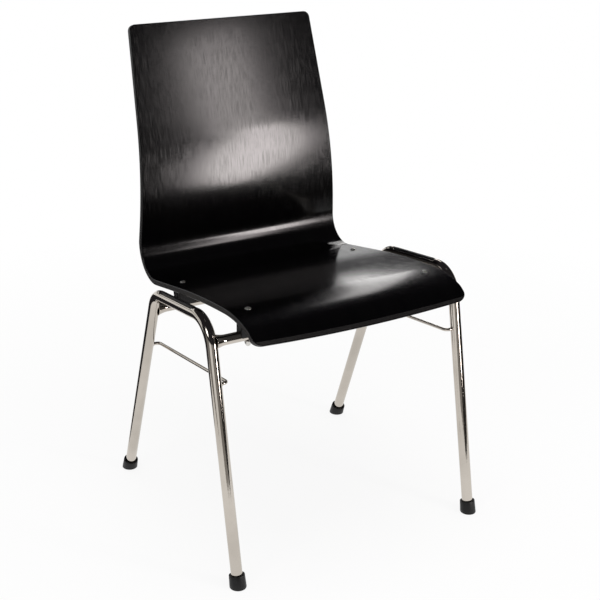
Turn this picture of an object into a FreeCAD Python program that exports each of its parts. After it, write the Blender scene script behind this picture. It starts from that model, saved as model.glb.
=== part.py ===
import FreeCAD, Part
import math
import os

import Sketcher

# Choir chair: a moulded plywood shell on two bent tube frames with two crossbars.
# Millimetres, +Z up, floor at Z 0, sitter faces -Y, sitter's right side at -X.

os.makedirs("parts", exist_ok=True)
doc = FreeCAD.newDocument("choir_chair")
V = FreeCAD.Vector

# Driving sizes
driving = [
    ("frame_margin", 34.0, "leg axis outside the shell's side edge"),
    ("leg_dia", 20.0, "side frame tube"),
    ("leg_wall", 1.5, "side frame tube wall"),
    ("front_foot", -251.0, "Y of the front leg axis at the floor"),
    ("rear_foot", 217.5, "Y of the rear leg axis at the floor"),
    ("front_leg_angle", 11.1, "front leg from the vertical, degrees"),
    ("rear_leg_angle", 21.4, "rear leg from the vertical, degrees"),
    ("run_height", 434.0, "top run axis above the floor at Y 0"),
    ("run_angle", 7.3, "top run upwards to the front, degrees"),
    ("front_bend", 50.0, "bend radius of the axis"),
    ("rear_bend", 42.0, "bend radius of the axis"),
    ("press_depth", 2.5, "flat pressed into the top run"),
    ("press_share", 0.97, "pressed wall, share of the flat's width"),
    ("strip_length", 128.0, "stacking strip"),
    ("strip_width", 7.6, "stacking strip"),
    ("strip_crown", 0.4, "strip above the round of the tube"),
    ("peg_dia", 5.0, "peg moulded on the strip"),
    ("peg_pitch", 84.0, "between the two pegs of a strip"),
    ("peg_length", 6.0, "peg below the strip"),
    ("peg_clearance", 0.15, "around a peg, radial"),
    ("tube_stop", 7.0, "tube end above the floor, along the leg"),
    ("cap_base_dia", 29.0, "foot cap at the floor"),
    ("cap_rim_dia", 27.4, "foot cap at its rim"),
    ("cap_height", 22.5, "foot cap along the leg"),
    ("cap_trim", 1.0, "foot cap below the floor, cut off level"),
    ("bar_dia", 18.0, "crossbar tube"),
    ("bar_wall", 1.5, "crossbar tube wall"),
    ("bar_flare", 4.0, "growth of the crossbar radius at a leg"),
    ("bar_flare_length", 19.0, "length of the flare"),
    ("waist_place", 0.333, "a point of the flare, share of its length"),
    ("waist_growth", 0.14, "growth at that point, share of the flare's"),
    ("bar_wrap", 4.0, "crossbar end past the inner side of the leg"),
    ("front_spacer_height", 36.13, "front crossbar axis to the top of its spacers"),
    ("rear_spacer_height", 28.26, "rear crossbar axis to the top of its spacers"),
    ("rod_dia", 6.0, "side rod"),
    ("rod_inset", 21.5, "side rod axis inside the leg axis"),
    ("rod_drop", 110.0, "side rod axis below the top run axis"),
    ("rod_bend", 9.0, "bend radius of the rod axis"),
    ("ply", 10.0, "shell thickness"),
    ("seat_rise", 3.9, "shell top face at the seat mark, above run_height"),
    ("seat_mark", 36.0, "Y of the seat mark"),
    ("seat_angle", 10.7, "rear of the seat, degrees"),
    ("seat_flat", 96.0, "straight rear part of the seat"),
    ("crown_radius", 1840.0, "middle of the seat"),
    ("crown_angle", 5.8, "middle of the seat, degrees"),
    ("knee_radius", 213.0, "roll behind the front lip"),
    ("knee_angle", 20.5, "roll behind the front lip, degrees"),
    ("lip_radius", 47.0, "front lip"),
    ("lip_angle", 45.2, "front lip, degrees"),
    ("lip_bow", 6.5, "front edge bowed forward in the middle"),
    ("lip_trim", 0.5, "blank past the bowed edge, cut off"),
    ("heel_radius", 51.0, "bend between the seat and the back"),
    ("lumbar_flat", 25.0, "straight part over the heel bend"),
    ("lumbar_angle", 4.3, "straight part leaning forward, degrees"),
    ("lumbar_radius", 560.0, "lumbar curve"),
    ("back_angle", 16.0, "upper back from the vertical, degrees"),
    ("back_flat", 172.3, "straight upper back"),
    ("seat_half_width", 208.5, "shell at the seat"),
    ("top_half_width", 185.5, "shell at its top edge"),
    ("top_corner", 11.0, "corner radius at the top"),
    ("front_corner", 18.0, "corner radius at the front"),
    ("front_screw_inset", 32.8, "front screws inside the shell's side edge"),
    ("rear_screw_inset", 27.7, "rear screws inside the shell's side edge"),
    ("screw_dia", 6.0, "seat screw shank"),
    ("screw_head_dia", 10.5, "seat screw head"),
    ("screw_head_height", 2.2, "seat screw head"),
    ("head_shoulder", 0.6, "a point of the head's dome, share of its radius"),
    ("head_shoulder_height", 0.78, "height of that point, share of the head's"),
    ("screw_clearance", 0.3, "around a screw, radial"),
    ("spacer_length", 34.0, "spacer along the crossbar"),
    ("spacer_depth", 22.0, "spacer across the crossbar"),
    ("spacer_corner", 4.0, "upright corners of a spacer"),
    ("seat_gap", 0.3, "between a spacer and the shell"),
    ("washer_dia", 15.0, "washer under the crossbar"),
    ("washer_thickness", 1.6, "washer under the crossbar"),
    ("nut_across", 10.0, "nut, across its flats"),
    ("nut_hex_height", 5.0, "hexagon of the nut"),
    ("nut_dome_radius", 4.5, "domed end of the nut"),
]

sheet = doc.addObject("Spreadsheet::Sheet", "sizes")
for row, (alias, value, note) in enumerate(driving, start=1):
    sheet.set("A%d" % row, note)
    sheet.set("B%d" % row, str(value))
    sheet.setAlias("B%d" % row, alias)
doc.recompute()


def size(alias):
    return float(sheet.get(alias))


def angle(alias):
    return math.radians(size(alias))


frame_half = size("seat_half_width") + size("frame_margin")
leg_r = size("leg_dia") / 2
bar_r = size("bar_dia") / 2
screw_r = size("screw_dia") / 2
ply = size("ply")
far = 600.0  # longer than any piece, for tools that cut right through
edge_slack = 0.2 * ply  # a corner edge may be this much off the thickness
nearly = 1e-6
full_turn = 360.0
sides = (("right", -1), ("left", 1))
across = V(1, 0, 0)
up = V(0, 0, 1)

# Side frame lines, worked out in the YZ plane
front_slope = math.tan(angle("front_leg_angle"))
rear_slope = -math.tan(angle("rear_leg_angle"))
run_slope = -math.tan(angle("run_angle"))


def front_axis(z):
    return V(0, size("front_foot") + z * front_slope, z)


def rear_axis(z):
    return V(0, size("rear_foot") + z * rear_slope, z)


def meet_run(foot, slope, drop=0.0):
    # Where a leg axis crosses the top run axis, or a line that far below it.
    y = (foot + slope * (size("run_height") - drop)) / (1 - slope * run_slope)
    return V(0, y, size("run_height") - drop + y * run_slope)


front_up = (front_axis(1) - front_axis(0)).normalize()
rear_up = (rear_axis(1) - rear_axis(0)).normalize()
run_back = V(0, 1, run_slope).normalize()
run_up = across.cross(run_back)
front_top = meet_run(size("front_foot"), front_slope)
rear_top = meet_run(size("rear_foot"), rear_slope)
front_end = front_axis(0) + front_up * size("tube_stop")
rear_end = rear_axis(0) + rear_up * size("tube_stop")


def reach(before, corner, after, radius):
    # From a corner to where its bend of that radius starts.
    half = (before - corner).getAngle(after - corner) / 2
    return radius / math.tan(half)


run_start = front_top + run_back * reach(front_end, front_top, rear_top, size("front_bend"))
run_end = rear_top - run_back * reach(front_top, rear_top, rear_end, size("rear_bend"))
run_middle = (run_start + run_end) * 0.5


# Document helpers
def new_body(name):
    body = doc.addObject("PartDesign::Body", name)
    body.Label = name
    return body


def new_sketch(body, role, name, offset=None):
    plane = [f for f in body.Origin.OriginFeatures if f.Role == role][0]
    sketch = body.newObject("Sketcher::SketchObject", name)
    sketch.AttachmentSupport = [(plane, "")]
    sketch.MapMode = "FlatFace"
    if offset:
        sketch.AttachmentOffset = offset
    return sketch


def flat(point):
    # A point of the YZ plane in that plane's own sketch.
    return V(point.y, point.z, 0)


def add_loop(sketch, corners):
    for start, end in zip(corners, corners[1:] + corners[:1]):
        sketch.addGeometry(Part.LineSegment(start, end), False)


def add_bent_path(sketch, points, radii):
    # Straight runs through the points, each inner corner rounded by a tangent arc.
    start = points[0]
    for before, corner, after, radius in zip(points, points[1:], points[2:], radii):
        back = (before - corner).normalize()
        ahead = (after - corner).normalize()
        half = back.getAngle(ahead) / 2
        length = radius / math.tan(half)
        first = corner + back * length
        last = corner + ahead * length
        crest = corner + (back + ahead).normalize() * (radius / math.sin(half) - radius)
        sketch.addGeometry(Part.LineSegment(start, first), False)
        sketch.addGeometry(Part.Arc(first, crest, last), False)
        start = last
    sketch.addGeometry(Part.LineSegment(start, points[-1]), False)


def add_circle(sketch, formula):
    sketch.addGeometry(Part.Circle(V(0, 0, 0), up, 1.0), False)
    index = sketch.addConstraint(Sketcher.Constraint("Radius", 0, 1.0))
    sketch.setExpression("Constraints[%d]" % index, formula)


def tilted(base, direction):
    # A placement whose Z axis points along the direction.
    return FreeCAD.Placement(base, FreeCAD.Rotation(up, direction))


def framed(base, x_axis, z_axis):
    # A placement with a chosen X axis and Z axis.
    return FreeCAD.Placement(base, FreeCAD.Rotation(x_axis, V(0, 0, 0), z_axis, "ZXY"))


def pipe(name, role, offset, points, radii, formula, base, direction):
    # A round bar of the formula's radius along a bent path.
    body = new_body(name)
    path = new_sketch(body, role, name + "_path", offset)
    add_bent_path(path, points, radii)
    ring = new_sketch(body, "XY_Plane", name + "_ring", tilted(base, direction))
    add_circle(ring, formula)
    sweep = body.newObject("PartDesign::AdditivePipe", name + "_sweep")
    sweep.Profile = ring
    sweep.Spine = path
    return body


def cylinder(name, radius, height, base, direction):
    # Radius and height are formulas of the sheet.
    solid = doc.addObject("Part::Cylinder", name)
    solid.setExpression("Radius", radius)
    solid.setExpression("Height", height)
    solid.Placement = tilted(base, direction)
    return solid


def box(name, length, width, height, center, x_axis, z_axis):
    # Sits on its base centre; the sizes are formulas of the sheet.
    solid = doc.addObject("Part::Box", name)
    solid.setExpression("Length", length)
    solid.setExpression("Width", width)
    solid.setExpression("Height", height)
    doc.recompute()
    place = framed(center, x_axis, z_axis)
    corner = place.Rotation.multVec(V(-solid.Length.Value / 2, -solid.Width.Value / 2, 0))
    solid.Placement = FreeCAD.Placement(center + corner, place.Rotation)
    return solid


def cut(name, base, tool):
    result = doc.addObject("Part::Cut", name)
    result.Base = base
    result.Tool = tool
    result.Label = name
    return result


def gather(kind, name, shapes):
    # Part::MultiFuse, Part::MultiCommon or Part::Compound of several shapes.
    result = doc.addObject(kind, name)
    if kind == "Part::Compound":
        result.Links = shapes
    else:
        result.Shapes = shapes
    result.Label = name
    return result


def fuse(name, shapes):
    return gather("Part::MultiFuse", name, shapes)


pieces = []


def keep(piece):
    pieces.append(piece)
    return piece


# Side frames: one bent tube each, its top run pressed flat for the stacking strip
flat_height = leg_r - size("press_depth")
peg_places = [run_middle + run_back * (end * size("peg_pitch") / 2) for end in (-1, 1)]
cores = {}


def side_frame(side, sign):
    shift = V(sign * frame_half, 0, 0)
    plane = FreeCAD.Placement(V(0, 0, sign * frame_half), FreeCAD.Rotation())
    corners = [flat(p) for p in (front_end, front_top, rear_top, rear_end)]
    bends = [size("front_bend"), size("rear_bend")]
    start = front_end + shift
    core = pipe(side + "_tube", "YZ_Plane", plane, corners, bends, "sizes.leg_dia / 2", start, front_up)
    bore = pipe(side + "_bore", "YZ_Plane", plane, corners, bends,
                "sizes.leg_dia / 2 - sizes.leg_wall", start, front_up)
    cores[side] = core
    hollow = cut(side + "_hollow_tube", core, bore)
    middle = run_middle + shift
    press = box(side + "_press", "2 * sizes.leg_dia", "sizes.strip_length", "sizes.leg_dia",
                middle + run_up * flat_height, across, run_up)
    pressed = cut(side + "_pressed_tube", hollow, press)
    # The pressed wall closes the bore under the flat.
    wall = box(side + "_pressed_wall",
               "2 * sqrt(sizes.leg_dia * sizes.press_depth - sizes.press_depth ^ 2) * sizes.press_share",
               "sizes.strip_length", "sizes.leg_wall",
               middle + run_up * (flat_height - size("leg_wall")), across, run_up)
    closed = fuse(side + "_closed_tube", [pressed, wall])
    holes = [cylinder("%s_peg_hole_%d" % (side, number), "sizes.peg_dia / 2 + sizes.peg_clearance",
                      "sizes.leg_dia / 2", place + shift, run_up)
             for number, place in enumerate(peg_places, start=1)]
    keep(cut(side + "_side_frame", closed, fuse(side + "_peg_holes", holes)))


for side, sign in sides:
    side_frame(side, sign)


# Stacking strips: a crowned strip with round ends and two pegs
def stacking_strip(side, sign):
    shift = V(sign * frame_half, 0, 0)
    middle = run_middle + shift
    half = size("strip_length") / 2
    body = new_body(side + "_strip_blank")
    outline = new_sketch(body, "XY_Plane", side + "_strip_outline",
                         framed(middle + run_up * flat_height, across, run_up))
    w = size("strip_width") / 2
    straight = half - w
    outline.addGeometry(Part.LineSegment(V(w, -straight, 0), V(w, straight, 0)), False)
    outline.addGeometry(Part.Arc(V(w, straight, 0), V(0, half, 0), V(-w, straight, 0)), False)
    outline.addGeometry(Part.LineSegment(V(-w, straight, 0), V(-w, -straight, 0)), False)
    outline.addGeometry(Part.Arc(V(-w, -straight, 0), V(0, -half, 0), V(w, -straight, 0)), False)
    pad = body.newObject("PartDesign::Pad", side + "_strip_pad")
    pad.Profile = outline
    pad.setExpression("Length", "sizes.leg_dia")
    crown = cylinder(side + "_strip_crown", "sizes.leg_dia / 2 + sizes.strip_crown", "sizes.strip_length",
                     middle - run_back * half, run_back)
    top = gather("Part::MultiCommon", side + "_strip_top", [body, crown])
    pegs = [cylinder("%s_peg_%d" % (side, number), "sizes.peg_dia / 2", "sizes.peg_length",
                     place + shift + run_up * flat_height, run_up * -1)
            for number, place in enumerate(peg_places, start=1)]
    keep(fuse(side + "_stacking_strip", [top] + pegs))


for side, sign in sides:
    stacking_strip(side, sign)


# Side rods: a thin rod below each top run, its ends turned out to the legs
def side_rod(side, sign):
    drop = size("rod_drop")
    front = meet_run(size("front_foot"), front_slope, drop)
    rear = meet_run(size("rear_foot"), rear_slope, drop)
    leg_x = sign * frame_half
    rod_x = sign * (frame_half - size("rod_inset"))
    length = (rear - front).Length
    corners = [V(leg_x, 0, 0), V(rod_x, 0, 0), V(rod_x, length, 0), V(leg_x, length, 0)]
    bends = [size("rod_bend")] * 2
    rod = pipe(side + "_rod_blank", "XY_Plane", framed(front, across, run_up), corners, bends,
               "sizes.rod_dia / 2", front + across * leg_x, across * -sign)
    keep(cut(side + "_side_rod", rod, cores[side]))


for side, sign in sides:
    side_rod(side, sign)


# Foot caps: plastic cups on the tube ends, cut level at the floor
def foot_cap(end, axis, leg_up, rake, side, sign):
    name = "%s_%s_foot_cap" % (end, side)
    foot = axis(0) + V(sign * frame_half, 0, 0)
    below = size("cap_base_dia") / 2 * math.tan(angle(rake)) + size("cap_trim")
    cup = doc.addObject("Part::Cone", name + "_cup")
    cup.setExpression("Radius1", "sizes.cap_base_dia / 2")
    cup.setExpression("Radius2", "sizes.cap_rim_dia / 2")
    cup.setExpression("Height", "sizes.cap_height + %f" % below)
    cup.Placement = tilted(foot - leg_up * below, leg_up)
    socket = cylinder(name + "_socket", "sizes.leg_dia / 2", "2 * sizes.cap_height",
                      foot + leg_up * size("tube_stop"), leg_up)
    ground = box(name + "_ground", "4 * sizes.cap_base_dia", "4 * sizes.cap_base_dia",
                 "2 * sizes.cap_base_dia", V(foot.x, foot.y, 0), across, up * -1)
    keep(cut(name, cut(name + "_open", cup, socket), ground))


for side, sign in sides:
    foot_cap("front", front_axis, front_up, "front_leg_angle", side, sign)
    foot_cap("rear", rear_axis, rear_up, "rear_leg_angle", side, sign)


# Shell profile: two paths from the seat mark, forward to the lip and back to the top.
# Its points are (Y, Z, 0), as in a sketch on the YZ plane.
def heading(direction):
    return V(math.cos(direction), math.sin(direction), 0)


def trace(start, direction, steps, offset):
    # Steps are ("line", length, 0) or ("arc", radius, turn), a turn to the left positive.
    # The traced face lies that offset to the right of the path.
    spot = start
    edges = []
    for kind, amount, turn in steps:
        right = heading(direction - math.pi / 2)
        if kind == "line":
            ahead = spot + heading(direction) * amount
            edges.append(Part.LineSegment(spot + right * offset, ahead + right * offset))
        else:
            side = 1 if turn > 0 else -1
            center = spot - right * (amount * side)
            traced = amount * side + offset
            turns = [direction, direction + turn / 2, direction + turn]
            spots = [center + heading(turned - math.pi / 2) * traced for turned in turns]
            edges.append(Part.Arc(*spots))
            direction += turn
            ahead = center + heading(direction - math.pi / 2) * (amount * side)
        spot = ahead
    return edges, spot, direction


mark = V(size("seat_mark"), size("run_height") + size("seat_rise"), 0)
tilt = angle("seat_angle")
lip_steps = [
    ("arc", size("crown_radius"), angle("crown_angle")),
    ("arc", size("knee_radius"), angle("knee_angle")),
    ("arc", size("lip_radius"), angle("lip_angle")),
    ("line", size("lip_bow") + size("lip_trim"), 0),
]
heel_steps = [
    ("line", size("seat_flat"), 0),
    ("arc", size("heel_radius"), math.pi / 2 + tilt + angle("lumbar_angle")),
]
back_steps = heel_steps + [
    ("line", size("lumbar_flat"), 0),
    ("arc", size("lumbar_radius"), -angle("lumbar_angle") - angle("back_angle")),
    ("line", size("back_flat"), 0),
]
lip_faces = [trace(mark, math.pi - tilt, lip_steps, offset) for offset in (0, -ply)]
back_faces = [trace(mark, -tilt, back_steps, offset) for offset in (0, ply)]
heel_top = trace(mark, -tilt, heel_steps, 0)[1]
lip_end, lip_direction = lip_faces[0][1:]
back_end = back_faces[0][1]
seat_edges = [edge.toShape() for edge in lip_faces[0][0] + back_faces[0][0]]


def seat_above(point):
    # The nearest point of the shell's top face to a crossbar's axis.
    nearest = Part.Compound(seat_edges).distToShape(Part.Vertex(flat(point)))[1][0][0]
    return V(0, nearest.x, nearest.y)


def bar_place(end, axis):
    # Where a leg axis is so far below the shell that the spacers of its crossbar fit between.
    depth = size(end + "_spacer_height") + size("seat_gap") + ply
    below = trace(mark, math.pi - tilt, lip_steps, -depth)[0] + trace(mark, -tilt, heel_steps, depth)[0]
    leg = Part.makeLine(flat(axis(0)), flat(axis(size("run_height"))))
    met = Part.Compound([edge.toShape() for edge in below]).distToShape(leg)[1]
    highest = max((pair[0] for pair in met), key=lambda point: point.y)
    return V(0, highest.x, highest.y)


# Crossbars: welded to the legs under the seat, their flared ends coped to the legs
bars = {"front": bar_place("front", front_axis), "rear": bar_place("rear", rear_axis)}
seats = {}
for end, bar in bars.items():
    foot = seat_above(bar)
    seats[end] = (foot, (foot - bar).normalize(), (foot - bar).Length)


def screw_spots(end):
    half = size("seat_half_width") - size(end + "_screw_inset")
    return [("right", across * -half), ("left", across * half)]


def screw_holes(name, end, start):
    # Clearance holes along the screws of one crossbar, from a height above the shell downwards.
    foot, normal, distance = seats[end]
    return [cylinder("%s_%s_%s" % (name, end, side), "sizes.screw_dia / 2 + sizes.screw_clearance",
                     "%f" % (start + distance + 2 * bar_r), foot + shift + normal * start, normal * -1)
            for side, shift in screw_spots(end)]


def crossbar(end):
    bar = bars[end]
    body = new_body(end + "_bar_blank")
    body.Placement = FreeCAD.Placement(bar, FreeCAD.Rotation())
    wall = size("bar_wall")
    tip = frame_half - leg_r + size("bar_wrap")
    neck = tip - size("bar_flare_length")
    grown = bar_r + size("bar_flare")
    waist = V(neck + size("bar_flare_length") * size("waist_place"),
              bar_r + size("bar_flare") * size("waist_growth"), 0)

    def flared(sketch, inward):
        for sign in (-1, 1):
            points = [V(sign * neck, bar_r - inward, 0), V(sign * waist.x, waist.y - inward, 0),
                      V(sign * tip, grown - inward, 0)]
            sketch.addGeometry(Part.Arc(*points), False)
        level = bar_r - inward
        sketch.addGeometry(Part.LineSegment(V(-neck, level, 0), V(neck, level, 0)), False)

    ring = new_sketch(body, "XY_Plane", end + "_bar_section")
    flared(ring, 0)
    flared(ring, wall)
    for sign in (-1, 1):
        rim = [V(sign * tip, radius, 0) for radius in (grown, grown - wall)]
        ring.addGeometry(Part.LineSegment(*rim), False)
    turned = body.newObject("PartDesign::Revolution", end + "_bar_turned")
    turned.Profile = ring
    turned.ReferenceAxis = (ring, ["H_Axis"])
    turned.Angle = full_turn
    tools = [cores["right"], cores["left"]] + screw_holes("bar_hole", end, 0)
    keep(cut(end + "_crossbar", body, fuse(end + "_bar_tools", tools)))


for end in bars:
    crossbar(end)


# Seat shell: one moulded sheet, tapered at the back, its front edge bowed
def shell_blank():
    body = new_body("shell_blank")
    profile = new_sketch(body, "YZ_Plane", "shell_profile")
    for faces in (lip_faces, back_faces):
        for edges, spot, direction in faces:
            for edge in edges:
                profile.addGeometry(edge, False)
        profile.addGeometry(Part.LineSegment(faces[0][0][-1].EndPoint, faces[1][0][-1].EndPoint), False)
    pad = body.newObject("PartDesign::Pad", "shell_pad")
    pad.Profile = profile
    pad.Midplane = True
    pad.setExpression("Length", "2 * sizes.seat_half_width")
    return body


def taper_tool():
    # What the back loses on both sides, seen from the front.
    body = new_body("taper_tool")
    seat_half = size("seat_half_width")
    slope = (seat_half - size("top_half_width")) / (back_end.y - heel_top.y)
    above = back_end.y + ply
    outer = seat_half + ply
    outline = new_sketch(body, "XZ_Plane", "taper_outline")
    for sign in (-1, 1):
        low = V(sign * seat_half, heel_top.y, 0)
        high = V(sign * (seat_half - slope * (above - heel_top.y)), above, 0)
        add_loop(outline, [low, high, V(sign * outer, above, 0), V(sign * outer, heel_top.y, 0)])
    pad = body.newObject("PartDesign::Pad", "taper_pad")
    pad.Profile = outline
    pad.Midplane = True
    pad.Length = far
    return body


def bow_tool():
    # What the front edge loses towards its corners, square to the lip.
    body = new_body("bow_tool")
    half = size("seat_half_width") + ply
    bow = size("lip_bow")
    radius = (size("seat_half_width") ** 2 + bow ** 2) / (2 * bow)
    sagitta = radius - math.sqrt(radius ** 2 - half ** 2)
    down = V(0, math.cos(lip_direction), math.sin(lip_direction))
    crest = V(0, lip_end.x, lip_end.y) - down * size("lip_trim")
    outline = new_sketch(body, "XY_Plane", "bow_outline", framed(crest, across, across.cross(down)))
    corners = [V(half, -sagitta, 0), V(half, ply, 0), V(-half, ply, 0), V(-half, -sagitta, 0)]
    outline.addGeometry(Part.Arc(corners[-1], V(0, 0, 0), corners[0]), False)
    for start, stop in zip(corners, corners[1:]):
        outline.addGeometry(Part.LineSegment(start, stop), False)
    pad = body.newObject("PartDesign::Pad", "bow_pad")
    pad.Profile = outline
    pad.Midplane = True
    pad.setExpression("Length", "4 * sizes.ply")
    return body


def corner_edges(shape, height, test):
    # The two upright edges of the sheet's thickness at a pair of corners.
    found = []
    for number, edge in enumerate(shape.Edges, start=1):
        middle = edge.valueAt((edge.FirstParameter + edge.LastParameter) / 2)
        if abs(edge.Length - ply) < edge_slack and test(middle):
            found.append((number, height, height))
    return found


def rounded(name, base, *corners):
    # Each corner pair is (radius, test on an edge's middle point).
    doc.recompute()
    result = doc.addObject("Part::Fillet", name)
    result.Base = base
    result.Edges = [edge for radius, test in corners for edge in corner_edges(base.Shape, radius, test)]
    return result


def at_top(point):
    return point.z > back_end.y - ply and abs(point.x) > size("top_half_width") - ply


def at_front(point):
    return point.y < lip_end.x + 2 * ply and abs(point.x) > size("seat_half_width") - ply


trimmed = cut("shell_trimmed", shell_blank(), fuse("shell_trims", [taper_tool(), bow_tool()]))
shell_rounded = rounded("shell_rounded", trimmed,
                        (size("top_corner"), at_top), (size("front_corner"), at_front))
shell_holes = [hole for end in bars for hole in screw_holes("shell_hole", end, ply)]
keep(cut("seat_shell", shell_rounded, fuse("shell_holes", shell_holes)))


# Spacers: plastic saddles between a crossbar and the shell
def spacer(end, side, shift):
    foot, normal, distance = seats[end]
    name = "%s_%s_spacer" % (end, side)
    bar = bars[end] + shift
    height = distance - ply - size("seat_gap")
    block = box(name + "_block", "sizes.spacer_length", "sizes.spacer_depth", "%f mm" % height,
                bar, across, normal)
    doc.recompute()
    corners = doc.addObject("Part::Fillet", name + "_corners")
    corners.Base = block
    corners.Edges = [(number, size("spacer_corner"), size("spacer_corner"))
                     for number, edge in enumerate(block.Shape.Edges, start=1)
                     if abs(abs(edge.tangentAt(edge.FirstParameter).dot(normal)) - 1) < nearly]
    saddle = cylinder(name + "_saddle", "sizes.bar_dia / 2", "2 * sizes.spacer_length",
                      bar - across * size("spacer_length"), across)
    bolt = cylinder(name + "_hole", "sizes.screw_dia / 2 + sizes.screw_clearance", "%f mm" % (2 * distance),
                    bar, normal)
    keep(cut(name, corners, fuse(name + "_tools", [saddle, bolt])))


for end in bars:
    for side, shift in screw_spots(end):
        spacer(end, side, shift)


# Seat screws with a domed head on the shell, washers and domed nuts under the crossbars
def under_bar(end):
    return seats[end][2] + bar_r


def seat_screw(end, side, shift):
    foot, normal, distance = seats[end]
    name = "screw_%s_%s" % (end, side)
    body = new_body(name)
    body.Placement = tilted(foot + shift, normal)
    head_r = size("screw_head_dia") / 2
    crown = size("screw_head_height")
    tip = -(under_bar(end) + size("washer_thickness") + size("nut_hex_height"))
    half = new_sketch(body, "XZ_Plane", name + "_section")
    shoulder = V(head_r * size("head_shoulder"), crown * size("head_shoulder_height"), 0)
    half.addGeometry(Part.Arc(V(0, crown, 0), shoulder, V(head_r, 0, 0)), False)
    corners = [V(head_r, 0, 0), V(screw_r, 0, 0), V(screw_r, tip, 0), V(0, tip, 0), V(0, crown, 0)]
    for start, stop in zip(corners, corners[1:]):
        half.addGeometry(Part.LineSegment(start, stop), False)
    turned = body.newObject("PartDesign::Revolution", name + "_turned")
    turned.Profile = half
    turned.ReferenceAxis = (half, ["V_Axis"])
    turned.Angle = full_turn
    return body


def washer(end, side, shift):
    foot, normal, distance = seats[end]
    name = "washer_%s_%s" % (end, side)
    top = foot + shift - normal * under_bar(end)
    disc = cylinder(name + "_disc", "sizes.washer_dia / 2", "sizes.washer_thickness", top, normal * -1)
    hole = cylinder(name + "_hole", "sizes.screw_dia / 2 + sizes.screw_clearance", "sizes.washer_dia",
                    top + normal * screw_r, normal * -1)
    return cut(name, disc, hole)


def nut(end, side, shift):
    foot, normal, distance = seats[end]
    name = "nut_%s_%s" % (end, side)
    top = foot + shift - normal * (under_bar(end) + size("washer_thickness"))
    hexagon = doc.addObject("Part::Prism", name + "_hexagon")
    hexagon.Polygon = 6
    hexagon.setExpression("Circumradius", "sizes.nut_across / sqrt(3)")
    hexagon.setExpression("Height", "sizes.nut_hex_height")
    hexagon.Placement = tilted(top, normal * -1)
    dome = doc.addObject("Part::Sphere", name + "_dome")
    dome.setExpression("Radius", "sizes.nut_dome_radius")
    dome.Placement.Base = top - normal * size("nut_hex_height")
    bore = cylinder(name + "_bore", "sizes.screw_dia / 2", "sizes.nut_hex_height", top, normal * -1)
    return cut(name, fuse(name + "_solid", [hexagon, dome]), bore)


spots = [(end, side, shift) for end in bars for side, shift in screw_spots(end)]
for name, maker in (("seat_screws", seat_screw), ("seat_washers", washer), ("seat_nuts", nut)):
    keep(gather("Part::Compound", name, [maker(*spot) for spot in spots]))

# Check every object, then write one file for each piece
doc.recompute()
for obj in doc.Objects:
    if "Invalid" in obj.State or "Error" in obj.State:
        raise SystemExit("%s failed: %s" % (obj.Name, obj.State))
for piece in pieces:
    if piece.Shape.isNull() or not piece.Shape.isValid() or not piece.Shape.Solids:
        raise SystemExit("%s has no valid solid" % piece.Label)
whole = Part.Compound([piece.Shape for piece in pieces])
for piece in pieces:
    piece.Shape.exportStep(os.path.join("parts", piece.Label + ".step"))
    print(piece.Label, len(piece.Shape.Solids), round(piece.Shape.Volume / 1000, 2), "cm3")
bounds = whole.optimalBoundingBox(False)
print("X", round(bounds.XMin, 2), round(bounds.XMax, 2))
print("Y", round(bounds.YMin, 2), round(bounds.YMax, 2))
print("Z", round(bounds.ZMin, 2), round(bounds.ZMax, 2))
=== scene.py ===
import math

import bpy
from mathutils import Matrix, Quaternion, Vector


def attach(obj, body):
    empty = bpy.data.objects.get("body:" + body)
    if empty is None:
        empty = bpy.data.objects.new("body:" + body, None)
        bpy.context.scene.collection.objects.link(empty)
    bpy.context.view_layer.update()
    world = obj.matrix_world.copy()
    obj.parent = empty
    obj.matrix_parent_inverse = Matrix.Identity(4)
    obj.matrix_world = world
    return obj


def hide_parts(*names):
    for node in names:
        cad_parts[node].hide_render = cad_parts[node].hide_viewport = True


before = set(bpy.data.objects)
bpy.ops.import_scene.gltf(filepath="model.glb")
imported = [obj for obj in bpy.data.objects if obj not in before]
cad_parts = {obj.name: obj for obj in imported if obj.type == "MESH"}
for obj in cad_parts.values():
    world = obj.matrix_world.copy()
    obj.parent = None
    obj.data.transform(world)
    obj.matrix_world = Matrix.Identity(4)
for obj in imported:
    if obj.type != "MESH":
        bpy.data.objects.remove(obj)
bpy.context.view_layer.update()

# Choir chair in metres, floor at Z 0, the sitter faces -Y
across = Vector((1, 0, 0))
up = Vector((0, 0, 1))
sides = {"right": -1, "left": 1}   # the sitter's right is at -X
ends = ("front", "rear")
print("frame loaded", len(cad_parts), "nodes")


# Meshes from points and faces, bars and turned pieces
def meshPiece(name, points, faces, smooth=True):
    mesh = bpy.data.meshes.new(name)
    mesh.from_pydata([tuple(p) for p in points], [], faces)
    mesh.validate()
    if smooth:
        mesh.shade_smooth()
    piece = bpy.data.objects.new(name, mesh)
    bpy.context.scene.collection.objects.link(piece)
    return piece


def joinPieces(name, pieces):
    bpy.ops.object.select_all(action="DESELECT")
    for piece in pieces:
        piece.select_set(True)
    bpy.context.view_layer.objects.active = pieces[0]
    bpy.ops.object.join()
    pieces[0].name = name
    return pieces[0]


def fit(piece, material, node):
    # the piece takes its node's place on the chair's one body
    if not piece.data.materials:
        piece.data.materials.append(material)
    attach(piece, "root")
    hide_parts(node)
    return piece


def quadRows(rows, closedAcross=False, closedAlong=False):
    # faces between rows of equal length
    faces = []
    width = len(rows[0])
    for i in range(len(rows) if closedAlong else len(rows) - 1):
        after = rows[(i + 1) % len(rows)]
        for j in range(width if closedAcross else width - 1):
            k = (j + 1) % width
            faces.append((rows[i][j], rows[i][k], after[k], after[j]))
    return faces


def reversedFaces(faces):
    return [tuple(reversed(face)) for face in faces]


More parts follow.
